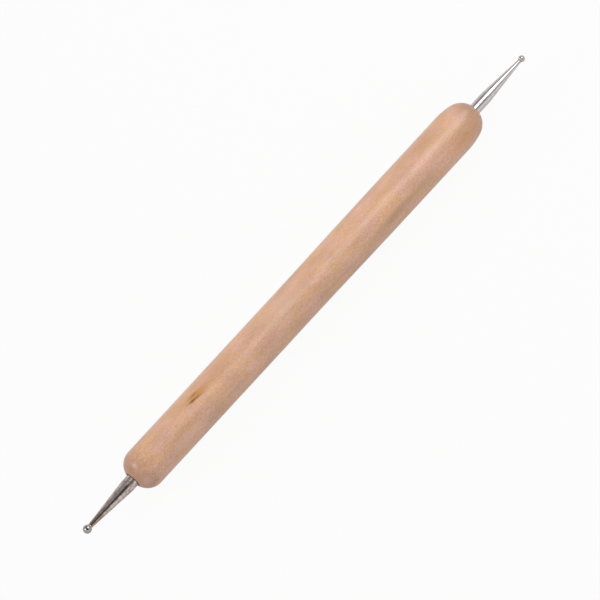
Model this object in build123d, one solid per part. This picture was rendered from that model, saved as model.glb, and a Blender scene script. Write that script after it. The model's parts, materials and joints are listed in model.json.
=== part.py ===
from build123d import *

import math
import os
from dataclasses import dataclass

# Double-ended embossing stylus: a turned wooden handle with a tapered steel shank and a ball at each end.
#
# The stylus lies on its handle on a flat surface. +Z is up, and +X runs along it towards the small ball.
# The origin is on that surface, under the middle of the whole length. All lengths are in millimetres.
#
# Each working end is drawn in its own frame: u runs outwards along the axis, from the flat land on the
# handle's nose, and r is the distance from the axis. The two ends differ only in their sizes.

# Handle, turned from one length of hardwood dowel. It is a little thicker towards the small ball.
large_end_handle_diameter = 9.85
small_end_handle_diameter = 10.15
large_end_barrel_length = 48.45
swell_length = 33.6
small_end_barrel_length = 19.8

# Rounded noses of the handle, each two arcs that flow into each other. The shoulder arc leaves the barrel
# and turns inwards by its sweep, in degrees. The crown arc, centred on the axis, goes on to the flat land
# round the mouth of the socket. The nose by the large ball is blunt, and the other one is long and slim.
large_end_nose_shoulder_radius = 3.9
large_end_nose_shoulder_sweep = 55.3
small_end_nose_shoulder_radius = 16.0
small_end_nose_shoulder_sweep = 14.8
nose_land_width = 0.12

# Shank of the large ball: a parallel stub outside the wood, then a long taper down to the neck.
large_end_shank_diameter = 3.2
large_end_stub_length = 1.93
large_end_taper_length = 12.15
large_end_neck_diameter = 1.05
large_end_tang_length = 14.0

# Shank of the small ball, thinner, with a longer stub.
small_end_shank_diameter = 2.7
small_end_stub_length = 3.93
small_end_taper_length = 11.2
small_end_neck_diameter = 0.82
small_end_tang_length = 13.0

# Balls and the bead of filler metal that joins each one to its neck. A leg is how far the bead reaches
# from the corner, both along the taper and round the ball.
large_ball_diameter = 2.0
small_ball_diameter = 1.5
braze_bead_leg = 0.16

# Details that both shanks share.
tang_chamfer = 0.4
shoulder_radius = 4.0

# Socket drilled in the wood, and the film of glue that fills it round the tang.
glue_film_thickness = 0.1
glue_setback = 0.5
socket_bottom_gap = 0.6
mouth_chamfer = 0.2
drill_point_angle = 118.0

# Overrun of every cutting tool past the face that it cuts.
cut_overrun = 1.0


@dataclass
class WorkingEnd:
    """The sizes of one end of the tool, with radii in place of the diameters above."""

    handle_radius: float
    nose_shoulder_radius: float
    nose_shoulder_sweep: float
    shank_radius: float
    stub_length: float
    taper_length: float
    neck_radius: float
    tang_length: float
    ball_radius: float

    @property
    def socket_radius(self):
        return self.shank_radius + glue_film_thickness

    @property
    def mouth_radius(self):
        return self.socket_radius + mouth_chamfer

    @property
    def face_radius(self):
        """Outer radius of the narrow flat land round the mouth of the socket."""
        return self.mouth_radius + nose_land_width

    @property
    def crown_radius(self):
        """Radius of the crown arc, so that it meets the end of the shoulder arc."""
        sweep = math.radians(self.nose_shoulder_sweep)
        shoulder_drop = self.nose_shoulder_radius * (1 - math.cos(sweep))
        return (self.handle_radius - shoulder_drop) / math.cos(sweep)

    @property
    def face_angle(self):
        """Angle on the crown arc, from the axis, at which the flat land cuts it off."""
        return math.degrees(math.asin(self.face_radius / self.crown_radius))

    @property
    def crown_sweep(self):
        """What is left of the quarter turn between the shoulder arc and the flat land."""
        return 90 - self.nose_shoulder_sweep - self.face_angle

    @property
    def nose_length(self):
        """From the flat land to the start of the parallel barrel."""
        sweep = math.radians(self.nose_shoulder_sweep)
        crown_centre = (self.nose_shoulder_radius - self.crown_radius) * math.sin(sweep)
        return crown_centre + self.crown_radius * math.cos(math.radians(self.face_angle))

    @property
    def neck_u(self):
        """Where the taper meets the ball."""
        return self.stub_length + self.taper_length

    @property
    def ball_u(self):
        """Centre of the ball: its surface passes through the rim of the neck."""
        return self.neck_u + math.sqrt(self.ball_radius**2 - self.neck_radius**2)

    @property
    def reach(self):
        """From the handle's face to the tip of the ball."""
        return self.ball_u + self.ball_radius

    @property
    def socket_depth(self):
        return self.tang_length + socket_bottom_gap

    @property
    def drill_point_depth(self):
        return self.socket_radius / math.tan(math.radians(drill_point_angle / 2))


large_end = WorkingEnd(
    handle_radius=large_end_handle_diameter / 2,
    nose_shoulder_radius=large_end_nose_shoulder_radius,
    nose_shoulder_sweep=large_end_nose_shoulder_sweep,
    shank_radius=large_end_shank_diameter / 2,
    stub_length=large_end_stub_length,
    taper_length=large_end_taper_length,
    neck_radius=large_end_neck_diameter / 2,
    tang_length=large_end_tang_length,
    ball_radius=large_ball_diameter / 2,
)
small_end = WorkingEnd(
    handle_radius=small_end_handle_diameter / 2,
    nose_shoulder_radius=small_end_nose_shoulder_radius,
    nose_shoulder_sweep=small_end_nose_shoulder_sweep,
    shank_radius=small_end_shank_diameter / 2,
    stub_length=small_end_stub_length,
    taper_length=small_end_taper_length,
    neck_radius=small_end_neck_diameter / 2,
    tang_length=small_end_tang_length,
    ball_radius=small_ball_diameter / 2,
)

# Stations along the tool, from the tip of the large ball, and the middle of the whole length.
barrels_and_swell = large_end_barrel_length + swell_length + small_end_barrel_length
handle_length = large_end.nose_length + barrels_and_swell + small_end.nose_length
overall_length = large_end.reach + handle_length + small_end.reach
large_face_x = large_end.reach - overall_length / 2
small_face_x = large_face_x + handle_length
large_barrel_x = large_face_x + large_end.nose_length
swell_start_x = large_barrel_x + large_end_barrel_length
swell_end_x = swell_start_x + swell_length
small_barrel_end_x = swell_end_x + small_end_barrel_length

# The thicker barrel lies on the surface, so the axis is one thick radius above it.
axis_height = max(large_end.handle_radius, small_end.handle_radius)
on_axis = Location((0, 0, axis_height))
large_end_frame = Location((large_face_x, 0, axis_height), (0, 0, 180))
small_end_frame = Location((small_face_x, 0, axis_height))


def turned(outline):
    """Turns a closed outline, drawn beside the X axis, into a solid of revolution about that axis."""
    return revolve(make_face(outline), axis=Axis.X)


def handle_blank():
    """The outside of the handle, from one land to the other, before the sockets are drilled."""
    with BuildLine() as outline:
        swell = Line((swell_start_x, large_end.handle_radius), (swell_end_x, small_end.handle_radius))
        for end, start, barrel_end_x, face_x, turn in (
            (large_end, swell @ 0, large_barrel_x, large_face_x, 1),
            (small_end, swell @ 1, small_barrel_end_x, small_face_x, -1),
        ):
            barrel = Line(start, (barrel_end_x, end.handle_radius))
            shoulder = JernArc(barrel @ 1, barrel % 1, end.nose_shoulder_radius, turn * end.nose_shoulder_sweep)
            crown = JernArc(shoulder @ 1, shoulder % 1, end.crown_radius, turn * end.crown_sweep)
            Line(crown @ 1, (face_x, 0))
        Line((large_face_x, 0), (small_face_x, 0))
    return on_axis * turned(outline.line)


def socket_cutter(end):
    """A drilled hole with the drill's own pointed bottom and a small chamfer round its mouth."""
    bottom = -end.socket_depth
    with BuildLine() as outline:
        Polyline(
            (cut_overrun, 0),
            (bottom - end.drill_point_depth, 0),
            (bottom, end.socket_radius),
            (-mouth_chamfer, end.socket_radius),
            (0, end.mouth_radius),
            (cut_overrun, end.mouth_radius + cut_overrun),
            close=True,
        )
    return turned(outline.line)


def shank(end):
    """Tang, stub and taper in one turned rod, ending in a hollow seat that fits the ball."""
    ball_back = end.ball_u - end.ball_radius
    with BuildSketch() as section:
        with BuildLine():
            Polyline(
                (ball_back, 0),
                (-end.tang_length, 0),
                (-end.tang_length, end.shank_radius - tang_chamfer),
                (tang_chamfer - end.tang_length, end.shank_radius),
                (end.stub_length, end.shank_radius),
                (end.neck_u, end.neck_radius),
            )
            RadiusArc((ball_back, 0), (end.neck_u, end.neck_radius), end.ball_radius)
        make_face()
        shoulder = section.vertices().sort_by_distance((end.stub_length, end.shank_radius))[0]
        fillet(shoulder, radius=shoulder_radius)
    return revolve(section.sketch, axis=Axis.X)


def ball(end):
    """A full bearing ball, seated in the hollow end of the neck."""
    return Pos(end.ball_u, 0, 0) * Sphere(end.ball_radius)


def braze_bead(end):
    """The ring of filler metal in the corner between neck and ball, dressed straight across its two legs."""
    taper_angle = math.atan2(end.shank_radius - end.neck_radius, end.taper_length)
    end_angle = math.asin(end.neck_radius / end.ball_radius) + braze_bead_leg / end.ball_radius
    neck_rim = Vector(end.neck_u, end.neck_radius)
    on_taper = neck_rim + Vector(-math.cos(taper_angle), math.sin(taper_angle)) * braze_bead_leg
    on_ball = Vector(end.ball_u, 0) + Vector(-math.cos(end_angle), math.sin(end_angle)) * end.ball_radius
    with BuildLine() as outline:
        Polyline(neck_rim, on_taper, on_ball)
        RadiusArc(neck_rim, on_ball, end.ball_radius)
    return turned(outline.line)


def glue(end):
    """Cured glue: a thin sleeve round the tang and a plug in the pointed bottom of the socket."""
    bottom = -end.socket_depth
    with BuildLine() as outline:
        Polyline(
            (-glue_setback, end.shank_radius),
            (-glue_setback, end.socket_radius),
            (bottom, end.socket_radius),
            (bottom - end.drill_point_depth, 0),
            (-end.tang_length, 0),
            (-end.tang_length, end.shank_radius - tang_chamfer),
            (tang_chamfer - end.tang_length, end.shank_radius),
            close=True,
        )
    return turned(outline.line)


def handle():
    """The finished handle, with a socket drilled into each nose."""
    sockets = [large_end_frame * socket_cutter(large_end), small_end_frame * socket_cutter(small_end)]
    return handle_blank() - sockets


pieces = {
    "handle": handle(),
    "large_ball_shank": large_end_frame * shank(large_end),
    "small_ball_shank": small_end_frame * shank(small_end),
    "large_ball": large_end_frame * ball(large_end),
    "small_ball": small_end_frame * ball(small_end),
    "large_ball_braze_bead": large_end_frame * braze_bead(large_end),
    "small_ball_braze_bead": small_end_frame * braze_bead(small_end),
    "large_end_glue": large_end_frame * glue(large_end),
    "small_end_glue": small_end_frame * glue(small_end),
}

os.makedirs("parts", exist_ok=True)
for name, piece in pieces.items():
    export_step(piece, f"parts/{name}.step")

print(f"whole tool {overall_length:.2f} mm, handle {handle_length:.2f} mm, axis at {axis_height:.3f} mm")
print(f"lands at x = {large_face_x:.3f} and {small_face_x:.3f} mm")
print(f"thin barrel from x = {large_barrel_x:.3f} to {swell_start_x:.3f} mm")
print(f"thick barrel from x = {swell_end_x:.3f} to {small_barrel_end_x:.3f} mm")
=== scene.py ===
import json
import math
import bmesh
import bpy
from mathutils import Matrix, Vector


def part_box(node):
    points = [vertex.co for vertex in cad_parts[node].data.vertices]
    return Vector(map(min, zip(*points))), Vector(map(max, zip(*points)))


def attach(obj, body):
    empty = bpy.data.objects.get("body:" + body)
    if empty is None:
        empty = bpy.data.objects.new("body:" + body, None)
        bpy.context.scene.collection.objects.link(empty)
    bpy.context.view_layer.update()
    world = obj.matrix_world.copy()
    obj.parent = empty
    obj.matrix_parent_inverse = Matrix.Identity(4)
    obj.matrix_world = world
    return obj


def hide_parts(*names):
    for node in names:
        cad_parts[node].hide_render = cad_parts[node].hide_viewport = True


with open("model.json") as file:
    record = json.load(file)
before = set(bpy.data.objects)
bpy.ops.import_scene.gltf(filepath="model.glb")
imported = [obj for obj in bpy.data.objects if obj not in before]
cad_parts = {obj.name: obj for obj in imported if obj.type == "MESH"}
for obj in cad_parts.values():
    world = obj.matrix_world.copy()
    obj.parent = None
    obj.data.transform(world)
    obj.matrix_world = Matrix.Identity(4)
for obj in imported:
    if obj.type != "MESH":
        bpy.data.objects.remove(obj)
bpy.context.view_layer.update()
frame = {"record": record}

# %% [markdown]
# # A double-ended embossing stylus
#
# The tool is a turned wooden handle with a tapered steel shank glued into each end and a polished ball
# brazed to each shank. Nearly every piece was made on a lathe, so this lesson builds one lathe out of
# Geometry Nodes and turns all the pieces on it, each in the finish of its real material.
#
# Blender works in metres. The sizes here are written in millimetres, as on a maker's drawing.

MM = 0.001


# %% [markdown]
# ## Where things are
#
# The solids already say where each piece sits, so the places are read from them instead of typed again:
# the ends of the handle from its box, and its two parallel stretches from the record's mounts. Only the
# sizes that a box can't show, such as a neck or a chamfer, are written here.
#
# Each working end is drawn in its own frame. u runs outwards from the end face of the handle, and r is
# the distance from the axis.

# %% Places read from the solids
mounts = {mount["name"]: mount for mount in frame["record"]["mounts"]}
handle_low, handle_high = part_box("handle")
AXIS_Z = mounts["thin_barrel"]["pos_m"][2] / MM


def barrel(name):
    """The start and end of a parallel stretch of the handle along X, and its radius."""
    mount = mounts[name]
    middle = mount["pos_m"][0] / MM
    half = mount["dims"]["length_mm"] / 2
    return middle - half, middle + half, mount["dims"]["r_mm"]


thin_start, thin_end, thin_radius = barrel("thin_barrel")
thick_start, thick_end, thick_radius = barrel("thick_barrel")
print("axis", round(AXIS_Z, 3), "mm up; barrels", thin_radius, "and", thick_radius, "mm in radius")

# %% Sizes of the two working ends
ends = {
    "large": {
        "side": -1, "face": handle_low[0] / MM, "barrel_end": thin_start, "barrel_radius": thin_radius,
        "nose_shoulder": 3.9, "nose_sweep": 55.3,
        "shank": 1.6, "stub": 1.93, "taper": 12.15, "neck": 0.525, "tang": 14.0, "ball": 1.0,
    },
    "small": {
        "side": 1, "face": handle_high[0] / MM, "barrel_end": thick_end, "barrel_radius": thick_radius,
        "nose_shoulder": 16.0, "nose_sweep": 14.8,
        "shank": 1.35, "stub": 3.93, "taper": 11.2, "neck": 0.41, "tang": 13.0, "ball": 0.75,
    },
}
GLUE_FILM = 0.1
MOUTH_CHAMFER = 0.2
LAND_WIDTH = 0.12
GLUE_SETBACK = 0.5
SOCKET_GAP = 0.6
DRILL_HALF_ANGLE = 59.0
TANG_CHAMFER = 0.4
for end in ends.values():
    end["socket"] = end["shank"] + GLUE_FILM
    end["mouth"] = end["socket"] + MOUTH_CHAMFER
    end["land"] = end["mouth"] + LAND_WIDTH
    end["bottom"] = -(end["tang"] + SOCKET_GAP)
    end["drill_point"] = end["bottom"] - end["socket"] / math.tan(math.radians(DRILL_HALF_ANGLE))
    end["taper_radians"] = math.atan2(end["shank"] - end["neck"], end["taper"])
    end["neck_u"] = end["stub"] + end["taper"]
    end["neck_degrees"] = 180 - math.degrees(math.asin(end["neck"] / end["ball"]))
    end["ball_u"] = end["neck_u"] + math.sqrt(end["ball"] ** 2 - end["neck"] ** 2)
    end["ball_x"] = end["face"] + end["side"] * end["ball_u"]
    print("end face at", round(end["face"], 3), "ball centre", round(end["ball_u"], 3), "further out")

# %% [markdown]
# ## The camera
#
# The photograph looks down on the tool from about 74 degrees up, turned so that the tool runs from the
# lower left to the upper right, with the large ball a little nearer. The sides of the handle hardly
# converge, so the lens is a very long one far away. A shorter lens close by would show the near end
# clearly larger.

# %% Camera
LENS = 1000.0
SENSOR = 36.0
PICTURE_WIDTH = 131.64
AIM_X = 0.125
AIM_RIGHT = -1.1767
AIM_UP = -1.5399
view_back = Vector((-0.208, -0.186, 0.960)).normalized()
sideways = Vector((0.66309, -0.74854, 0.0))
view_right = (sideways - view_back * sideways.dot(view_back)).normalized()
view_up = view_back.cross(view_right)
distance = PICTURE_WIDTH * LENS / SENSOR
aim = Vector((AIM_X, 0.0, AXIS_Z)) + view_right * AIM_RIGHT + view_up * AIM_UP
camera_data = bpy.data.cameras.new("camera")
camera_data.lens = LENS
camera_data.sensor_width = SENSOR
camera_data.sensor_fit = "HORIZONTAL"
camera = bpy.data.objects.new("camera", camera_data)
turn = Matrix((view_right, view_up, view_back)).transposed().to_4x4()
camera.matrix_world = Matrix.Translation((aim + view_back * distance) * MM) @ turn
bpy.context.scene.collection.objects.link(camera)
bpy.context.scene.camera = camera
bpy.context.scene.view_settings.view_transform = "Standard"
print("camera", round(distance), "mm away, picture", PICTURE_WIDTH, "mm wide")

# %% [markdown]
# ## Colours and nodes
#
# Colours are given as sRGB hex values, but a renderer adds light in linear values, so one
# function turns the first into the second, along the curve that sRGB lays down.
# any node to any tree: it sets the node's options, then fills each input with a value or with a link
# from another node.


# %% Helpers for colours and nodes
def linear(hex_colour):
    """Turns an sRGB hex colour such as D2A98C into linear red, green, blue and alpha."""
    channels = [int(hex_colour[start:start + 2], 16) / 255 for start in (0, 2, 4)]
    return [c / 12.92 if c <= 0.04045 else ((c + 0.055) / 1.055) ** 2.4 for c in channels] + [1.0]


def add(tree, kind, inputs=None, **options):
    """Adds a node with its options, and fills its inputs, named or numbered, with values or links."""
    node = tree.nodes.new(kind)
    for name, value in options.items():
        setattr(node, name, value)
    for name, value in (inputs or {}).items():
        if isinstance(value, bpy.types.NodeSocket):
            tree.links.new(value, node.inputs[name])
        else:
            node.inputs[name].default_value = value
    return node


print("helpers ready; mid grey 808080 is", round(linear("808080")[0], 3), "in linear light")

# %% [markdown]
# ## The studio
#
# The stylus lies on a white sweep. One broad softbox hangs above its far end, low enough that its
# reflection lies along the wood there and fades towards the near end. A second lamp stands far away on
# the left, behind a broad screen. The screen's soft light is kept out of the reflections, but the bulb
# shows through it, as a small spark in each ball and on the blunt nose of the wood.
#
# The rest of the light comes from the room: white walls, a dimmer ceiling, and a dark patch where the
# camera is, with a grey stand beside it. Wood hardly shows the room, but ground steel is a blurred mirror
# of it, and it would look flat if the room were one even white.


# %% Softbox
def hang(name, data, towards, distance):
    """Hangs a lamp in a direction from the middle of the tool, facing it, and hides it from the camera."""
    made = bpy.data.objects.new(name, data)
    made.location = Vector(towards).normalized() * distance * MM
    made.rotation_euler = Vector(towards).to_track_quat("Z", "Y").to_euler()
    made.visible_camera = False
    bpy.context.scene.collection.objects.link(made)
    return made


SOFTBOX_WIDTH = 190.0
SOFTBOX_HEIGHT = 265.0
SOFTBOX_BRIGHTNESS = 2.4
SOFTBOX_DIRECTION = (0.485, 0.125, 0.87)
SOFTBOX_DISTANCE = 340
softbox = bpy.data.lights.new("softbox", "AREA")
softbox.shape = "RECTANGLE"
softbox.size = SOFTBOX_WIDTH * MM
softbox.size_y = SOFTBOX_HEIGHT * MM
softbox.energy = SOFTBOX_BRIGHTNESS * math.pi * softbox.size * softbox.size_y
hang("softbox", softbox, SOFTBOX_DIRECTION, SOFTBOX_DISTANCE)
print("softbox of", SOFTBOX_WIDTH, "by", SOFTBOX_HEIGHT, "mm")

# %% Screen and bulb on the left
# How bright each one is, and how wide it looks from the tool, in degrees.
LEFT_LAMPS = {"left_screen": (0.9, 30), "left_bulb": (0.45, 20)}
LEFT_DIRECTION = (-0.683, 0.556, 0.480)
LEFT_DISTANCE = 400
for name, (brightness, width) in LEFT_LAMPS.items():
    left_lamp = bpy.data.lights.new(name, "SUN")
    left_lamp.energy = brightness
    left_lamp.angle = math.radians(width)
    left = hang(name, left_lamp, LEFT_DIRECTION, LEFT_DISTANCE)
    left.visible_glossy = name == "left_bulb"
print("on the left:", ", ".join(LEFT_LAMPS))


# %% Room
def only(tree, value, start, stop, top=1.0):
    """Keeps the part of a value between two limits, spread smoothly from 0 to top."""
    return add(
        tree, "ShaderNodeMapRange", {"Value": value, "From Min": start, "From Max": stop, "To Max": top},
        interpolation_type="SMOOTHSTEP",
    ).outputs["Result"]


WALLS = 0.79
# Each patch: its direction, the cosines at which it starts and is full, and its brightness.
ROOM_PATCHES = {
    "ceiling": ((0.0, 0.55, 0.84), 0.55, 0.85, 0.34),
    "camera side": ((-0.10, -0.28, 0.95), 0.86, 0.96, 0.05),
    "stand": ((0.36, -0.60, 0.72), 0.955, 0.99, 0.42),
}
world = bpy.data.worlds.new("studio")
world.use_nodes = True
bpy.context.scene.world = world
room = world.node_tree
room.nodes.clear()
direction = add(room, "ShaderNodeTexCoord").outputs["Generated"]
room_light = WALLS
for axis, start, full, patch_light in ROOM_PATCHES.values():
    cosine = add(
        room, "ShaderNodeVectorMath", {0: direction, 1: Vector(axis).normalized()}, operation="DOT_PRODUCT",
    ).outputs["Value"]
    share = only(room, cosine, start, full)
    mixed = add(room, "ShaderNodeMix", {0: share, 2: room_light, 3: patch_light}, data_type="FLOAT")
    room_light = mixed.outputs[0]
background = add(room, "ShaderNodeBackground", {"Color": linear("FFFFFF"), "Strength": room_light})
add(room, "ShaderNodeOutputWorld", {"Surface": background.outputs["Background"]})
print("room: walls", WALLS, "with", ", ".join(f"{name} {patch[-1]}" for name, patch in ROOM_PATCHES.items()))

# %% [markdown]
# ## The floor
#
# A plain pale floor. The camera sees it lifted most of the way to white, as a lit sweep looks, and the
# part of it that is left to the lamps still carries the stylus's soft shadow. What the wood and the
# steel mirror of it is lifted too, but less, so it stays a pale grey and their edges stand out.

# %% Floor
FLOOR_HALF = 3000.0
floor_mesh = bpy.data.meshes.new("floor")
corners = [(x * FLOOR_HALF * MM, y * FLOOR_HALF * MM, 0.0) for x, y in ((-1, -1), (1, -1), (1, 1), (-1, 1))]
floor_mesh.from_pydata(corners, [], [(0, 1, 2, 3)])
floor = bpy.data.objects.new("floor", floor_mesh)
bpy.context.scene.collection.objects.link(floor)
print("floor", 2 * FLOOR_HALF, "mm across")

# %% White sweep
LIFT = 0.94
MIRRORED_LIFT = 0.2
paper = bpy.data.materials.new("white_paper_sweep")
paper.use_nodes = True
tree = paper.node_tree
tree.nodes.clear()
rays = add(tree, "ShaderNodeLightPath").outputs
seen = add(tree, "ShaderNodeMath", {0: rays["Is Camera Ray"], 1: LIFT}, operation="MULTIPLY")
bounced = add(
    tree, "ShaderNodeMath", {0: rays["Is Glossy Ray"], 1: rays["Is Transmission Ray"]}, operation="ADD",
)
mirrored = add(tree, "ShaderNodeMath", {0: bounced.outputs[0], 1: MIRRORED_LIFT}, operation="MULTIPLY")
matt = add(tree, "ShaderNodeBsdfDiffuse", {"Color": linear("D6D6D4")})
glow = add(tree, "ShaderNodeEmission", {"Color": linear("FFFFFF"), "Strength": 1.0})
lifted = add(tree, "ShaderNodeMath", {0: seen.outputs[0], 1: mirrored.outputs[0]}, operation="ADD")
sweep = add(tree, "ShaderNodeMixShader", {0: lifted.outputs[0], 1: matt.outputs[0], 2: glow.outputs[0]})
add(tree, "ShaderNodeOutputMaterial", {"Surface": sweep.outputs[0]})
floor_mesh.materials.append(paper)
print("sweep lifted", LIFT, "of the way to white for the camera,", MIRRORED_LIFT, "in reflections")

# %% [markdown]
# ## Marks that follow the tool
#
# Wood fibres run along the tool, and grinding marks run round it. Both are the same thing to a shader:
# noise that is drawn out in one direction. Object coordinates give each point its real place, so a mark
# can be given its real length and width in millimetres. The pattern fills space, so it also comes out
# right where the nose cuts across it: lines on the side of the handle become dots on its end.
#
# A few marks are single ones, such as a mineral streak in the wood. Each is a soft lens at one place.


# %% Helpers for places
def new_finish(name):
    """Starts a material, and returns it with its tree and with the place of each point in mm."""
    made = bpy.data.materials.new(name)
    made.use_nodes = True
    tree = made.node_tree
    tree.nodes.clear()
    place = add(tree, "ShaderNodeTexCoord").outputs["Object"]
    in_mm = add(tree, "ShaderNodeVectorMath", {0: place, 1: (1 / MM, 1 / MM, 1 / MM)}, operation="MULTIPLY")
    return made, tree, in_mm.outputs[0]


def swayed(tree, place, pattern, reach):
    """Moves each place to and fro by what a noise says, up to half of a reach in mm each way."""
    sway = add(tree, "ShaderNodeMath", {0: pattern, 1: 0.5}, operation="SUBTRACT").outputs[0]
    offset = add(tree, "ShaderNodeVectorMath", {0: reach, "Scale": sway}, operation="SCALE").outputs[0]
    return add(tree, "ShaderNodeVectorMath", {0: place, 1: offset}, operation="ADD").outputs[0]


def off_axis(tree, place):
    """How far each place is from the X axis."""
    flat = add(tree, "ShaderNodeVectorMath", {0: place, 1: (0, 1, 1)}, operation="MULTIPLY").outputs[0]
    return add(tree, "ShaderNodeVectorMath", {0: flat}, operation="LENGTH").outputs["Value"]


print("a place can be swayed, and measured from an axis")


# %% Helpers for marks
def marks(tree, place, along, across, seed, detail=2.0):
    """Noise whose marks are about so long along the tool and so wide across it, in mm."""
    drawn = add(
        tree, "ShaderNodeMapping",
        {"Vector": place, "Location": (seed, seed, seed), "Scale": (1 / along, 1 / across, 1 / across)},
    )
    noise = add(tree, "ShaderNodeTexNoise", {"Vector": drawn.outputs[0], "Scale": 1.0, "Detail": detail})
    return noise.outputs[0]


def lens(tree, place, centre, half_size, turn):
    """A soft lens-shaped mark at a place in mm, turned about Z in degrees: 1 at its middle, 0 outside."""
    turned = add(
        tree, "ShaderNodeMapping",
        {"Vector": place, "Location": centre, "Rotation": (0, 0, math.radians(turn)), "Scale": half_size},
        vector_type="TEXTURE",
    )
    far = add(tree, "ShaderNodeVectorMath", {0: turned.outputs[0]}, operation="LENGTH").outputs["Value"]
    return only(tree, far, 1.0, 0.0)


print("marks can be drawn out along the tool or across it, or set singly")

# %% Helpers for colour and shine
NOISE_LOW = 0.3
NOISE_HIGH = 0.7


def between(tree, pattern, low, high, noise_high=NOISE_HIGH):
    """Lets a noise, which seldom leaves NOISE_LOW to NOISE_HIGH, swing from one value to another."""
    return add(
        tree, "ShaderNodeMapRange",
        {"Value": pattern, "From Min": NOISE_LOW, "From Max": noise_high, "To Min": low, "To Max": high},
    ).outputs["Result"]


def tinted(tree, colour, amount, tint):
    """Moves a colour towards a tint, given in hex, by an amount from 0 to 1."""
    mix = add(tree, "ShaderNodeMix", {0: amount, 6: colour, 7: linear(tint)}, data_type="RGBA")
    return mix.outputs[2]


def dress(tree, settings, relief, strength, height):
    """Ends a material with its shader, whose skin rises and falls with a relief, so high in mm."""
    bump = add(tree, "ShaderNodeBump", {"Height": relief, "Strength": strength, "Distance": height * MM})
    shader = add(tree, "ShaderNodeBsdfPrincipled", {**settings, "Normal": bump.outputs[0]})
    add(tree, "ShaderNodeOutputMaterial", {"Surface": shader.outputs[0]})


print("a pattern can drive colour, roughness and relief")

# %% [markdown]
# ## A lathe made of nodes
#
# A lathe needs one thing, the profile: a line of points, each so far along the axis and so far from it.
# Blender's Spin tool or Screw modifier could turn it, but both act once and say nothing of how a real
# turning differs from a perfect one. A Geometry Nodes tree does the same job with named inputs: it lays
# out a grid with one row for each point of the profile, rolls the grid round the axis, and closes it.
# On the way it lets the radius wander by a few hundredths of a millimetre, as sanded wood does, and it
# lets the points that the profile marks as a rim chip a little more.

# %% The lathe: its inputs
# Wander and Rim Chips are shares of the radius, and the lengths are how far apart the dents lie.
lathe = bpy.data.node_groups.new("lathe", "GeometryNodeTree")
lathe_inputs = {}
for name, kind in {
    "Profile": "NodeSocketGeometry", "Segments": "NodeSocketInt", "Axis Height": "NodeSocketFloat",
    "Wander": "NodeSocketFloat", "Wander Length": "NodeSocketFloat", "Rim Chips": "NodeSocketFloat",
    "Chip Length": "NodeSocketFloat", "Seed": "NodeSocketFloat", "Corner Angle": "NodeSocketFloat",
    "Material": "NodeSocketMaterial",
}.items():
    lathe_inputs[name] = lathe.interface.new_socket(name, in_out="INPUT", socket_type=kind).identifier
lathe.interface.new_socket("Turned", in_out="OUTPUT", socket_type="NodeSocketGeometry")
given = add(lathe, "NodeGroupInput").outputs
print("lathe inputs:", ", ".join(lathe_inputs))

# %% The lathe: one grid for the whole skin
# One row of the grid for each point of the profile, and one column for each step round.
rows = add(lathe, "GeometryNodeAttributeDomainSize", {0: given["Profile"]}, component="MESH")
columns = add(lathe, "FunctionNodeIntegerMath", {0: given["Segments"], 1: 1}, operation="ADD").outputs[0]
grid = add(lathe, "GeometryNodeMeshGrid", {"Vertices X": rows.outputs["Point Count"], "Vertices Y": columns})
index = add(lathe, "GeometryNodeInputIndex").outputs[0]
row = add(lathe, "FunctionNodeIntegerMath", {0: index, 1: columns}, operation="DIVIDE_FLOOR").outputs[0]
column = add(lathe, "FunctionNodeIntegerMath", {0: index, 1: columns}, operation="MODULO").outputs[0]

# Each row fetches its point of the profile, and whether that point lies on a rim.
fetched = {}
for wanted, value, data_type in (
    ("point", add(lathe, "GeometryNodeInputPosition"), "FLOAT_VECTOR"),
    ("rim", add(lathe, "GeometryNodeInputNamedAttribute", {"Name": "rim"}, data_type="FLOAT"), "FLOAT"),
):
    fetched[wanted] = add(
        lathe, "GeometryNodeSampleIndex",
        {"Geometry": given["Profile"], "Value": value.outputs[0], "Index": row}, data_type=data_type,
    ).outputs[0]
print("grid laid out:", len(lathe.nodes), "nodes")

# %% The lathe: rolling the skin round the axis
# Each column has its share of a full turn. The last column repeats the first.
share = add(lathe, "ShaderNodeMath", {0: column, 1: given["Segments"]}, operation="DIVIDE").outputs[0]
part_turn = add(lathe, "ShaderNodeMath", {0: share}, operation="FRACT").outputs[0]
angle = add(lathe, "ShaderNodeMath", {0: part_turn, 1: math.tau}, operation="MULTIPLY").outputs[0]
rolled = add(
    lathe, "ShaderNodeVectorRotate", {"Vector": fetched["point"], "Angle": angle}, rotation_type="X_AXIS",
).outputs[0]
print("skin rolled:", len(lathe.nodes), "nodes")

# %% The lathe: wander and chips
# Two noises make the radius wander and the rim chip. Their highest value counts as 0, so they only
# take material away, as sanding does, and the piece stays inside its drawn size.
NOISE_TOP = 0.8
changes = []
for length, depth in ((given["Wander Length"], given["Wander"]), (given["Chip Length"], given["Rim Chips"])):
    scale = add(lathe, "ShaderNodeMath", {0: 1.0, 1: length}, operation="DIVIDE").outputs[0]
    noise = add(
        lathe, "ShaderNodeTexNoise", {"Vector": rolled, "W": given["Seed"], "Scale": scale, "Detail": 2.0},
        noise_dimensions="4D",
    ).outputs[0]
    below = add(lathe, "ShaderNodeMath", {0: noise, 1: NOISE_TOP}, operation="SUBTRACT").outputs[0]
    changes.append(add(lathe, "ShaderNodeMath", {0: below, 1: depth}, operation="MULTIPLY").outputs[0])
wander, chips = changes
chipped = add(lathe, "ShaderNodeMath", {0: chips, 1: fetched["rim"]}, operation="MULTIPLY").outputs[0]
change = add(lathe, "ShaderNodeMath", {0: wander, 1: chipped}, operation="ADD").outputs[0]
factor = add(lathe, "ShaderNodeMath", {0: 1.0, 1: change}, operation="ADD").outputs[0]
scales = add(lathe, "ShaderNodeCombineXYZ", {"X": 1.0, "Y": factor, "Z": factor}).outputs[0]
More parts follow.
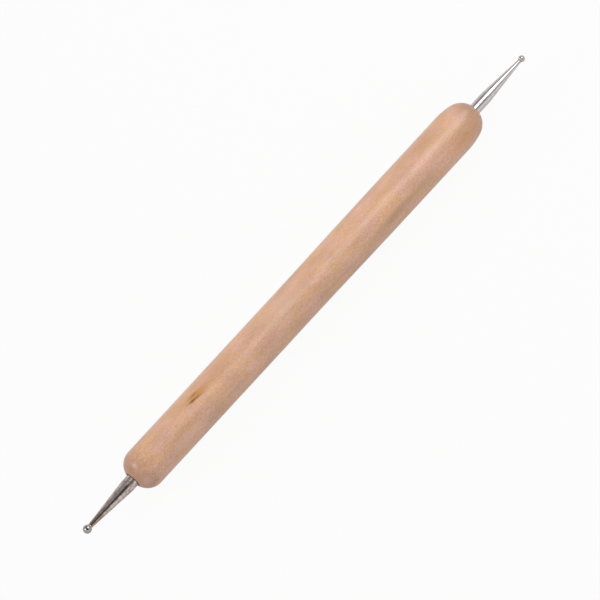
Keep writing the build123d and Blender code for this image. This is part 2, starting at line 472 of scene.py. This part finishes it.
shaped = add(lathe, "ShaderNodeVectorMath", {0: rolled, 1: scales}, operation="MULTIPLY").outputs[0]
lift = add(lathe, "ShaderNodeCombineXYZ", {"Z": given["Axis Height"]}).outputs[0]
final = add(lathe, "ShaderNodeVectorMath", {0: shaped, 1: lift}, operation="ADD").outputs[0]
moved = add(lathe, "GeometryNodeSetPosition", {"Geometry": grid.outputs["Mesh"], "Position": final})
print("skin shaped:", len(lathe.nodes), "nodes")

# %% The lathe: closing the skin
# The seam and the poles are closed, and an edge stays sharp where the profile turns a corner.
CLOSING_DISTANCE = 0.0001 * MM
closed = add(
    lathe, "GeometryNodeMergeByDistance", {"Geometry": moved.outputs[0], "Distance": CLOSING_DISTANCE},
)
bend = add(lathe, "GeometryNodeInputMeshEdgeAngle").outputs["Unsigned Angle"]
soft = add(
    lathe, "FunctionNodeCompare", {0: bend, 1: given["Corner Angle"]},
    data_type="FLOAT", operation="LESS_THAN",
)
faces = add(
    lathe, "GeometryNodeSetShadeSmooth", {"Geometry": closed.outputs[0], "Shade Smooth": True}, domain="FACE",
)
edges = add(
    lathe, "GeometryNodeSetShadeSmooth", {"Geometry": faces.outputs[0], "Shade Smooth": soft.outputs[0]},
    domain="EDGE",
)
real = add(lathe, "GeometryNodeRealizeInstances", {"Geometry": edges.outputs[0]})
dressed = add(lathe, "GeometryNodeSetMaterial", {"Geometry": real.outputs[0], "Material": given["Material"]})
add(lathe, "NodeGroupOutput", {"Turned": dressed.outputs[0]})
print("lathe ready:", len(lathe.nodes), "nodes")

# %% [markdown]
# ## Using the lathe
#
# A profile goes in as a loose line of edges, with the lathe as its modifier. What comes out is copied as
# a plain mesh, and the line and its modifier are thrown away. The new piece then takes the place of the
# solid of the same name.


# %% Turning one piece
def turn_piece(name, profile, material, slot, rims=(), **values):
    """Turns a profile of (x, r) points in mm into the piece that stands for the node of the same name."""
    line = bpy.data.meshes.new(name + "_profile")
    points = [(x * MM, 0.0, r * MM) for x, r in profile]
    line.from_pydata(points, [(i, i + 1) for i in range(len(points) - 1)], [])
    marked = line.attributes.new("rim", "FLOAT", "POINT")
    marked.data.foreach_set("value", list(rims) or [0.0] * len(points))
    blank = bpy.data.objects.new(name + "_blank", line)
    bpy.context.scene.collection.objects.link(blank)

    modifier = blank.modifiers.new("lathe", "NODES")
    modifier.node_group = lathe
    settings = {
        "Segments": 96, "Axis Height": AXIS_Z * MM, "Wander": 0.0, "Wander Length": 10 * MM,
        "Rim Chips": 0.0, "Chip Length": 1 * MM, "Seed": 1.0, "Corner Angle": math.radians(32),
        "Material": material,
    }
    settings.update({key.replace("_", " "): value for key, value in values.items()})
    for key, value in settings.items():
        modifier[lathe_inputs[key]] = value
    bpy.context.view_layer.update()
    mesh = bpy.data.meshes.new_from_object(blank.evaluated_get(bpy.context.evaluated_depsgraph_get()))
    mesh.name = name + "_piece"
    bpy.data.objects.remove(blank)
    bpy.data.meshes.remove(line)

    # A profile drawn the other way round gives faces that point inwards, so those are turned over.
    shell = bmesh.new()
    shell.from_mesh(mesh)
    volume = shell.calc_volume(signed=True) / MM**3
    open_edges = sum(1 for edge in shell.edges if not edge.is_manifold)
    if volume < 0:
        bmesh.ops.reverse_faces(shell, faces=shell.faces)
        shell.to_mesh(mesh)
    shell.free()

    piece = bpy.data.objects.new(name + "_piece", mesh)
    bpy.context.scene.collection.objects.link(piece)
    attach(piece, "root")
    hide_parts(name)
    print(name, "volume", round(abs(volume), 3), "mm3,", len(mesh.polygons), "faces, open edges", open_edges)


# %% Drawing a profile
def placed(end, points):
    """Moves (u, r) points of a working end to (x, r) points of the whole tool."""
    return [(end["face"] + end["side"] * u, r) for u, r in points]


def arc(centre, radius, start, stop, steps):
    """Points of a circle, from one angle to another in degrees, measured from the outward axis."""
    angles = [math.radians(start + (stop - start) * i / steps) for i in range(steps + 1)]
    return [(centre[0] + radius * math.cos(a), centre[1] + radius * math.sin(a)) for a in angles]


def spaced(start, stop, step):
    """Evenly spaced points on a straight line, the first left out, no further apart than the step."""
    count = max(1, math.ceil(math.dist(start, stop) / step))
    return [tuple(a + (b - a) * i / count for a, b in zip(start, stop)) for i in range(1, count + 1)]


def through(start, *legs):
    """Points from a start through corners. Each leg is its corner and the step up to it."""
    points = [start]
    for corner, step in legs:
        points += spaced(points[-1], corner, step)
    return points


print("a quarter circle in", len(arc((0, 0), 1, 0, 90, 6)), "points")

# %% [markdown]
# ## The wood
# The blunt nose is darkened more than the long one, and that extra darkness is painted shade.
#
# The handle is birch or beech under a thin satin lacquer. Such wood has faint growth rings, fine fibres
# and short pores along the grain, and cloudy patches that are pinker or yellower. On a cylinder cut
# slightly askew to the trunk the rings come out as long ovals and stripes. So the rings here are shells
# round a far-off pith whose axis is tilted a little, and noise bends them. The nose shows end grain,
# which drinks more lacquer and looks darker and browner.
#
# One small dark pocket of mineral in a yellow-brown halo lies on the near half of the handle, as in the
# photograph, with a smaller pocket beside it and a hair of stained grain running on from it. There is a
# pin knot too, and there are broad patches that are paler, browner or more yellow, and small scuffs on
# the blunt nose. Some marks are painted light and shade instead: a painted highlight near the tip of the
# long nose, painted light on one flank of the near half, and painted shade on the far third, on both
# flanks of the long nose and beside the mouth of the blunt nose. The wood's rays are cut across on one
# flank, where they show most as dark flecks.

# %% Lacquered birch: growth rings and clouds
PINKISH = "DAA98F"
TAN = "D7A782"
LATEWOOD = "B98A66"
LATEWOOD_DEPTH = 0.10
RING_WIDTH = 1.7
RING_BEND = (0.0, 2.0, 1.4)
# The pith lies outside the handle, below it and to one side, and runs nearly along it.
PITH_PLACE = (0, -21, -38)
PITH_TILT = (0, math.radians(1.6), math.radians(1.1))
wood, tree, in_mm = new_finish("lacquered_birch")
bent = swayed(tree, in_mm, marks(tree, in_mm, along=16, across=5, seed=3.0), RING_BEND)
round_pith = add(
    tree, "ShaderNodeMapping", {"Vector": bent, "Location": PITH_PLACE, "Rotation": PITH_TILT},
    vector_type="TEXTURE",
)
pith_distance = off_axis(tree, round_pith.outputs[0])
ring_count = add(tree, "ShaderNodeMath", {0: pith_distance, 1: RING_WIDTH}, operation="DIVIDE").outputs[0]
ring_share = add(tree, "ShaderNodeMath", {0: ring_count}, operation="FRACT").outputs[0]

# A ring darkens slowly through its latewood, and falls back to pale just inside the next ring.
latewood = only(tree, ring_share, 0.35, 0.92)
ring_start = only(tree, ring_share, 0.12, 0.0)
latewood = add(tree, "ShaderNodeMath", {0: latewood, 1: ring_start}, operation="MAXIMUM").outputs[0]
late_amount = add(tree, "ShaderNodeMath", {0: latewood, 1: LATEWOOD_DEPTH}, operation="MULTIPLY").outputs[0]

clouds = only(tree, marks(tree, bent, along=4.6, across=2.8, seed=7.0), 0.38, 0.62)
colour = tinted(tree, linear(PINKISH), clouds, TAN)
colour = tinted(tree, colour, late_amount, LATEWOOD)
print("rings", RING_WIDTH, "mm wide between", PINKISH, "and", TAN)

# %% Lacquered birch: fibres, flecks and shades
# Real fibres are 0.02 to 0.04 mm wide, and give the eye a soft silky grain. These are drawn at 0.26 mm,
# and the flecks of the cut rays at 0.36 mm, so that they show. The scuffs lie only on the blunt nose.
FIBRE_DEPTH = 0.035
FLECK_DEPTH = 0.075
RAY_DEPTH = 0.055
RAY_EDGE = 3.0
SCUFF_DEPTH = 0.12
SCUFF_START = -47
SCUFF_FULL = -56
SHADE_DEPTH = 0.1
fibres = marks(tree, bent, along=2.2, across=0.26, seed=11.0, detail=3.0)
flecks = marks(tree, in_mm, along=0.38, across=0.36, seed=37.0)
scuffs = marks(tree, in_mm, along=1.0, across=0.5, seed=47.0)
shades = marks(tree, bent, along=8.0, across=3.0, seed=41.0)
place = add(tree, "ShaderNodeSeparateXYZ", {0: in_mm}).outputs
cut_rays = only(tree, place["Y"], RAY_EDGE, -RAY_EDGE, top=RAY_DEPTH)
worn = only(tree, place["X"], SCUFF_START, SCUFF_FULL, top=SCUFF_DEPTH)
fleck_depth = add(tree, "ShaderNodeMath", {0: cut_rays, 1: FLECK_DEPTH}, operation="ADD").outputs[0]
fleck_depth = add(tree, "ShaderNodeMath", {0: fleck_depth, 1: worn}, operation="ADD").outputs[0]
for pattern, depth in ((fibres, FIBRE_DEPTH), (flecks, fleck_depth), (scuffs, worn), (shades, SHADE_DEPTH)):
    swing = between(tree, pattern, -1.0, 1.0)
    tone = add(tree, "ShaderNodeMath", {0: swing, 1: depth, 2: 1.0}, operation="MULTIPLY_ADD").outputs[0]
    colour = add(tree, "ShaderNodeVectorMath", {0: colour, "Scale": tone}, operation="SCALE").outputs[0]
print("fibres", FIBRE_DEPTH, "flecks", FLECK_DEPTH, "shades", SHADE_DEPTH, "deep in tone")

# %% Lacquered birch: pores
# Real pores are about 0.05 mm wide, and give the eye short fine dashes. These are drawn more than three
# times as wide, so that they show.
PORE_LENGTH = 0.9
PORE_WIDTH = 0.18
PORE_DEPTH = 0.4
pores = only(tree, marks(tree, bent, PORE_LENGTH, PORE_WIDTH, seed=19.0), 0.62, 0.72)
crowding = only(tree, marks(tree, bent, along=5.0, across=1.6, seed=23.0), 0.42, 0.62, top=PORE_DEPTH)
pore_amount = add(tree, "ShaderNodeMath", {0: pores, 1: crowding}, operation="MULTIPLY").outputs[0]
colour = tinted(tree, colour, pore_amount, "8E6242")
print("pores", PORE_LENGTH, "mm long and", PORE_WIDTH, "mm wide")

# %% Lacquered birch: end grain, and painted shade on the blunt nose
# End grain darkens both noses. The blunt nose is darkened more, and that extra is painted shade.
# How far in from the barrel's end it starts, how far in from the face it is full, and how strong.
END_GRAIN_AND_SHADE = {"large": (1.5, 0.5, 0.7), "small": (-1.0, 0.0, 0.5)}
end_grain_and_shade = 0.0
for size, (start_inset, full_inset, strength) in END_GRAIN_AND_SHADE.items():
    end = ends[size]
    grain_start = end["barrel_end"] - end["side"] * start_inset
    grain_full = end["face"] - end["side"] * full_inset
    nose = only(tree, place["X"], grain_start, grain_full, top=strength)
    end_grain_and_shade = add(tree, "ShaderNodeMath", {0: end_grain_and_shade, 1: nose}, operation="ADD").outputs[0]
colour = tinted(tree, colour, end_grain_and_shade, "A4775A")
print("end grain darkens both noses")

# %% Lacquered birch: single marks
# Each mark is a lens: place, half sizes and turn in mm and degrees, then how strong and what colour.
SINGLE_MARKS = {
    "halo": ((-33.9, 1.65, 9.7), (5.0, 1.4, 1.6), -8, 1.0, "CC8C48"),
    "halo_tail": ((-30.8, 1.9, 9.6), (4.7, 0.65, 1.6), -10, 0.48, "CE9260"),
    "mineral_pocket": ((-35.1, 1.2, 9.86), (3.5, 0.36, 1.0), -8, 1.0, "945E18"),
    "mineral_heart": ((-35.5, 1.14, 9.86), (1.4, 0.34, 1.0), -8, 0.65, "643E08"),
    "second_pocket": ((-34.6, 2.1, 9.5), (1.7, 0.42, 1.0), 2, 0.85, "A06C2A"),
    "stained_hair": ((-28.6, 1.0, 9.9), (2.6, 0.16, 1.0), -7, 0.5, "A87A50"),
    "pin_knot": ((-37.6, -2.6, 9.1), (0.55, 0.28, 0.6), 0, 0.4, "A08050"),
    "brown_line": ((26.5, -3.6, 8.5), (11.5, 1.5, 1.8), 0, 0.4, "9C7448"),
    # Painted shade, warmer in tone, on the -Y flank of the long nose.
    "warm_shaded_flank": ((49.5, -3.0, 8.4), (10.0, 2.4, 2.8), 0, 0.5, "C98F52"),
    "yellow_patch": ((-51.6, -0.6, 9.9), (3.0, 1.8, 1.5), 0, 0.35, "C08E5C"),
    "pale_scuff": ((-56.4, -2.0, 9.3), (1.2, 1.5, 1.6), 20, 0.35, "D0A69A"),
    # Painted shade, brownish, beside the mouth of the blunt nose.
    "mouth_side_shade": ((-56.4, 1.5, 8.8), (1.3, 1.9, 1.9), 0, 0.5, "8A5A46"),
    # Painted light on the -Y flank of the near half.
    "painted_light_flank": ((-41.5, -3.2, 8.9), (10.5, 1.7, 2.0), 0, 0.35, "E8C0AC"),
    "pale_shoulder": ((-55.4, -3.2, 7.8), (2.0, 2.0, 2.4), 0, 0.5, "D9ACA4"),
    "pale_belly": ((-7.5, 1.4, 9.8), (10.5, 3.4, 4.0), 0, 0.4, "ECC3A6"),
    "shaded_left": ((41.5, 2.7, 9.1), (9.0, 2.6, 3.0), 0, 0.5, "B98A66"),
    "shaded_nose": ((49.7, 4.2, 7.8), (3.5, 1.6, 2.4), 0, 0.35, "A87650"),
    # Painted highlight near the tip of the long nose.
    "painted_tip_highlight": ((53.9, 0.3, 10.0), (2.0, 1.1, 1.5), 0, 0.45, "F0C8B0"),
}
RAGGEDNESS = (0.0, 0.5, 0.0)
ragged = swayed(tree, in_mm, marks(tree, in_mm, along=0.9, across=0.4, seed=43.0), RAGGEDNESS)
for centre, half_size, mark_turn, strength, tint in SINGLE_MARKS.values():
    spot = lens(tree, ragged, centre, half_size, mark_turn)
    amount = add(tree, "ShaderNodeMath", {0: spot, 1: strength}, operation="MULTIPLY").outputs[0]
    colour = tinted(tree, colour, amount, tint)
print(len(SINGLE_MARKS), "single marks")

# %% Lacquered birch: painted shade at the mouths, and lacquer
# Painted shade darkens the wood round the mouths of the sockets, from one radius in to another.
SEAM_SHADE_START = 2.35
SEAM_SHADE_FULL = 1.75
SEAM_SHADE_DEPTH = 0.75
centred = add(tree, "ShaderNodeVectorMath", {0: in_mm, 1: (0.0, 0.0, -AXIS_Z)}, operation="ADD").outputs[0]
mouth_seam_shade = only(tree, off_axis(tree, centred), SEAM_SHADE_START, SEAM_SHADE_FULL, top=SEAM_SHADE_DEPTH)
colour = tinted(tree, colour, mouth_seam_shade, "6B4A38")
relief = add(tree, "ShaderNodeMath", {0: fibres, 1: pores}, operation="SUBTRACT").outputs[0]
lacquered = {
    "Base Color": colour, "Roughness": between(tree, fibres, 0.42, 0.52), "IOR": 1.5,
    "Coat Weight": 0.8, "Coat Roughness": 0.28, "Coat IOR": 1.5,
}
dress(tree, lacquered, relief, strength=0.22, height=0.012)
print("wood finished:", len(tree.nodes), "nodes")

# %% [markdown]
# ## The handle
#
# The real handle was turned from dowel, sanded, drilled at both ends and dipped. A cylinder with bevelled
# ends would miss what the hand notices: each nose is a shoulder arc that flows into a crown arc, blunt by
# the large ball and long and slim by the small one, and the barrel swells by a third of a millimetre from
# one to the other. One profile carries all of that, with the drilled sockets as its two ends, so the
# handle is one closed shell with real holes in it.


# %% The handle's profile
def half_profile(end):
    """One end of the handle, from the pointed bottom of its socket out to the start of the barrel."""
    points = through(
        (end["drill_point"], 0.0),
        ((end["bottom"], end["socket"]), 0.6),
        ((-MOUTH_CHAMFER, end["socket"]), 0.5),
        ((0.0, end["mouth"]), 0.1),
        ((0.0, end["land"]), 0.06),
    )

    # The crown arc has its centre on the axis, and meets the shoulder arc where the shoulder's sweep ends.
    sweep = math.radians(end["nose_sweep"])
    shoulder = end["nose_shoulder"]
    crown = (end["barrel_radius"] - shoulder * (1 - math.cos(sweep))) / math.cos(sweep)
    barrel_u = -abs(end["face"] - end["barrel_end"])
    crown_u = barrel_u + (shoulder - crown) * math.sin(sweep)
    land_angle = math.degrees(math.asin(end["land"] / crown))
    meeting_angle = 90 - end["nose_sweep"]
    points += arc((crown_u, 0.0), crown, land_angle, meeting_angle, 24)[1:]
    points += arc((barrel_u, end["barrel_radius"] - shoulder), shoulder, meeting_angle, 90, 16)[1:]
    return placed(end, points)


def swell(steps):
    """The gentle S between the two barrels, its first point left out."""
    shares = [i / steps for i in range(1, steps + 1)]
    return [
        (
            thin_end + (thick_start - thin_end) * s,
            thin_radius + (thick_radius - thin_radius) * s * s * (3 - 2 * s),
        )
        for s in shares
    ]


profile = half_profile(ends["large"])
profile += spaced(profile[-1], (thin_end, thin_radius), step=1.0)
profile += swell(steps=34)
profile += spaced(profile[-1], (thick_end, thick_radius), step=1.0)
profile += half_profile(ends["small"])[::-1][1:]
print("handle drawn with", len(profile), "points")

# %% Handle
rims = [
    1.0 if min(abs(x - end["face"]) for end in ends.values()) < MOUTH_CHAMFER / 2 else 0.0
    for x, r in profile
]
turn_piece(
    "handle", profile, wood, "lacquered_wood", rims, Segments=192, Wander=0.016, Wander_Length=14 * MM,
    Rim_Chips=0.05, Chip_Length=0.7 * MM, Seed=2.0,
)

# %% [markdown]
# ## Ground steel
#
# The shanks are plain steel wire, ground to a taper. A wheel leaves fine rings round the work, so each
# point mirrors the room a little differently from its neighbour along the tool. The shank of the large
# ball is dull: its rings are coarse, oily stains lie over them, and the heat of the brazing has left a
# straw to brown tint near the ball. The other shank was polished after grinding, so it is brighter.
# Metal has no colour of its own under the shine: its base colour is the tint of its reflections.


# %% Shank finish
def ground_steel(name, end, clean, stain, stain_amount, rough, ring_depth, unevenness, heat, heat_amount):
    """Ground steel with rings round the axis, stained hollows, and a heat tint towards the ball."""
    made, tree, in_mm = new_finish(name)
    # Real rings are about 0.02 mm apart, and give the eye a soft sheen that is drawn out along the rod.
    # These are drawn at 0.12 mm, so that they show.
    rings = marks(tree, in_mm, along=0.12, across=2.4, seed=5.0)
    blotches = marks(tree, in_mm, along=0.7, across=0.4, seed=9.0, detail=4.0)
    colour = tinted(tree, linear(clean), only(tree, blotches, 0.42, 0.66, top=stain_amount), stain)
    nicks = only(tree, marks(tree, in_mm, along=0.16, across=0.7, seed=31.0), 0.64, 0.72, top=stain_amount)
    colour = tinted(tree, colour, nicks, "D8D0CC")
    ring_tone = between(tree, rings, 0.86, 1.1)
    colour = add(tree, "ShaderNodeVectorMath", {0: colour, "Scale": ring_tone}, operation="SCALE").outputs[0]
    x_place = add(tree, "ShaderNodeSeparateXYZ", {0: in_mm}).outputs["X"]
    heat_start, heat_full = [end["ball_x"] - end["side"] * reach for reach in heat]
    colour = tinted(tree, colour, only(tree, x_place, heat_start, heat_full, top=heat_amount), "8C7A58")
    # The stains lie in shallow hollows that the wheel left, much deeper than its rings.
    hollows = add(tree, "ShaderNodeMath", {0: blotches, 1: unevenness}, operation="MULTIPLY").outputs[0]
    uneven = add(tree, "ShaderNodeMath", {0: rings, 1: hollows}, operation="ADD").outputs[0]
    steel = {"Base Color": colour, "Metallic": 1.0, "Roughness": between(tree, blotches, *rough)}
    dress(tree, steel, uneven, strength=ring_depth, height=0.006)
    print(name, "between", clean, "and", stain)
    return made


# Heat says how far from the ball's centre its tint starts and is full, in mm.
dark_steel = ground_steel(
    "ground_steel_dark", ends["large"], clean="DCCCC7", stain="886E62", stain_amount=0.6,
    rough=(0.13, 0.26), ring_depth=0.5, unevenness=8.0, heat=(7.0, 1.0), heat_amount=0.7,
)
bright_steel = ground_steel(
    "ground_steel_bright", ends["small"], clean="E3DBDB", stain="C4BBBA", stain_amount=0.35,
    rough=(0.11, 0.19), ring_depth=0.25, unevenness=2.0, heat=(3.0, 0.8), heat_amount=0.3,
)

# %% [markdown]
# ## The shanks
#
# Each shank is one turned rod: a tang that is glued into the wood, a short parallel stub, a shoulder
# where the grinding starts, a long taper, and a hollow seat at the end that fits the ball. A cone from
# the cone tool would end in a flat disc there, and the ball would only touch it.

# %% Shanks
SHOULDER_RADIUS = 4.0


def tang_profile(end):
    """The tang in its socket, from the middle of its flat end to the corner of its chamfer."""
    return through(
        (-end["tang"], 0.0),
        ((-end["tang"], end["shank"] - TANG_CHAMFER), 0.6),
        ((TANG_CHAMFER - end["tang"], end["shank"]), 0.3),
    )


def shank_profile(end):
    """From the tang's flat end out to the hollow seat under the ball."""
    tangent = SHOULDER_RADIUS * math.tan(end["taper_radians"] / 2)
    centre = (end["stub"] - tangent, end["shank"] - SHOULDER_RADIUS)
    points = tang_profile(end)
    points += spaced(points[-1], (end["stub"] - tangent, end["shank"]), step=0.4)
    points += arc(centre, SHOULDER_RADIUS, 90, 90 - math.degrees(end["taper_radians"]), 5)[1:]
    points += spaced(points[-1], (end["neck_u"], end["neck"]), step=0.2)
    points += arc((end["ball_u"], 0.0), end["ball"], end["neck_degrees"], 180, 8)[1:]
    return placed(end, points)


for size, steel, slot, seed in (
    ("large", dark_steel, "ground_steel_dark", 4.0),
    ("small", bright_steel, "ground_steel_bright", 5.0),
):
    turn_piece(
        size + "_ball_shank", shank_profile(ends[size]), steel, slot,
        Seed=seed, Wander=0.008, Wander_Length=2.5 * MM,
    )

# %% [markdown]
# ## The balls
#
# These are bearing balls, hard and polished, so each one mirrors the whole studio: the softbox and the
# bulb are its two bright sparks, the dark patch is where the camera stands, and the floor is the pale
# ring. A UV sphere would do for the shape, but the lathe gives it with its poles on the tool's axis,
# where the fine scratches of use run round it. The large ball is the one that was used more, so it is a
# little duller with handling and the small one is cleaner.


# %% Ball finish
def polished_steel(name, clean, smeared):
    """Polished bearing steel with fine scratches round the axis and faint smears."""
    made, tree, in_mm = new_finish(name)
    # Real scratches are a few thousandths of a millimetre wide, and only soften the edge of a spark.
    # These are drawn at 0.07 mm, and very shallow.
    scratches = marks(tree, in_mm, along=0.07, across=0.5, seed=13.0, detail=3.0)
    smears = marks(tree, in_mm, along=0.6, across=0.5, seed=17.0)
    colour = tinted(tree, linear(clean), only(tree, smears, 0.35, 0.7, top=0.5), smeared)
    gloss = between(tree, scratches, 0.04, 0.1, noise_high=0.75)
    mirror = {"Base Color": colour, "Metallic": 1.0, "Roughness": gloss}
    dress(tree, mirror, scratches, strength=0.10, height=0.002)
    print(name, "between", clean, "and", smeared)
    return made


ball_steel = {
    "large": polished_steel("bearing_steel_handled", "B8B2B0", "9A9292"),
    "small": polished_steel("bearing_steel_clean", "CAC5C3", "ACA6A4"),
}

# %% Balls
for size, end in ends.items():
    profile = placed(end, arc((end["ball_u"], 0.0), end["ball"], 180, 0, 48))
    turn_piece(size + "_ball", profile, ball_steel[size], "polished_steel")

# %% [markdown]
# ## The braze
#
# Silver-coloured filler metal ran into the corner between neck and ball and froze there with a hollow
# face, as any liquid does in a corner. It is softer than steel and was cleaned with a brush, so it is
# duller than the ball. A torus would bulge out where the real ring curves in.

# %% Braze finish
braze, tree, in_mm = new_finish("silver_braze")
ripples = marks(tree, in_mm, along=0.2, across=0.25, seed=21.0, detail=3.0)
colour = tinted(tree, linear("C6C0B8"), only(tree, ripples, 0.35, 0.65), "989088")
filler = {"Base Color": colour, "Metallic": 1.0, "Roughness": between(tree, ripples, 0.24, 0.4)}
dress(tree, filler, ripples, strength=0.4, height=0.01)
print("braze finish:", len(tree.nodes), "nodes")

# %% Braze rings
BEAD_LEG = 0.16
HOLLOW_SHARE = 0.22
FACE_STEPS = 8


def bead_profile(end):
    """A closed line round the ring: up the taper, down the hollow face, and back along the ball."""
    taper = end["taper_radians"]
    neck = (end["neck_u"], end["neck"])
    on_taper = (neck[0] - BEAD_LEG * math.cos(taper), neck[1] + BEAD_LEG * math.sin(taper))
    ball_angle = end["neck_degrees"] - math.degrees(BEAD_LEG / end["ball"])
    along_ball = arc((end["ball_u"], 0.0), end["ball"], ball_angle, end["neck_degrees"], 4)
    on_ball = along_ball[0]
    face = []
    for i in range(1, FACE_STEPS):
        share = i / FACE_STEPS
        # A parabola that is deepest in the middle of the face pulls each point towards the corner.
        hollow = HOLLOW_SHARE * 4 * share * (1 - share)
        face.append(tuple(
            (1 - hollow) * (a + (b - a) * share) + hollow * corner
            for a, b, corner in zip(on_taper, on_ball, neck)
        ))
    return placed(end, [neck, on_taper] + face + along_ball)


for size, end in ends.items():
    turn_piece(
        size + "_ball_braze_bead", bead_profile(end), braze, "braze_metal",
        Wander=0.02, Wander_Length=0.5 * MM, Corner_Angle=math.radians(50),
    )

# %% [markdown]
# ## The glue
#
# Hard amber glue fills the gap round each tang and the pointed bottom of the socket. All that shows is
# a thin dark ring just inside the mouth, where the glue crept up both walls as it set.

# %% Glue finish
glue, tree, in_mm = new_finish("cured_epoxy_glue")
cloudy = marks(tree, in_mm, along=0.5, across=0.4, seed=27.0, detail=3.0)
colour = tinted(tree, linear("5E4328"), only(tree, cloudy, 0.35, 0.65), "3E2B1C")
amber = {"Base Color": colour, "Roughness": between(tree, cloudy, 0.15, 0.35), "IOR": 1.55}
dress(tree, amber, cloudy, strength=0.3, height=0.01)
print("glue finish:", len(tree.nodes), "nodes")

# %% Glue sleeves
CREEP = 0.08
FILM_STEPS = 6


def glue_profile(end):
    """From the tang's flat end round the tang, over the hollow top of the sleeve, and down the socket."""
    points = tang_profile(end)
    points += spaced(points[-1], (CREEP - GLUE_SETBACK, end["shank"]), step=0.5)
    for i in range(1, FILM_STEPS):
        share = i / FILM_STEPS
        points.append((CREEP * (2 * share - 1) ** 2 - GLUE_SETBACK, end["shank"] + GLUE_FILM * share))
    points += through(
        (CREEP - GLUE_SETBACK, end["socket"]),
        ((end["bottom"], end["socket"]), 0.5),
        ((end["drill_point"], 0.0), 0.6),
    )
    return placed(end, points)


for size, end in ends.items():
    turn_piece(size + "_end_glue", glue_profile(end), glue, "cured_glue")
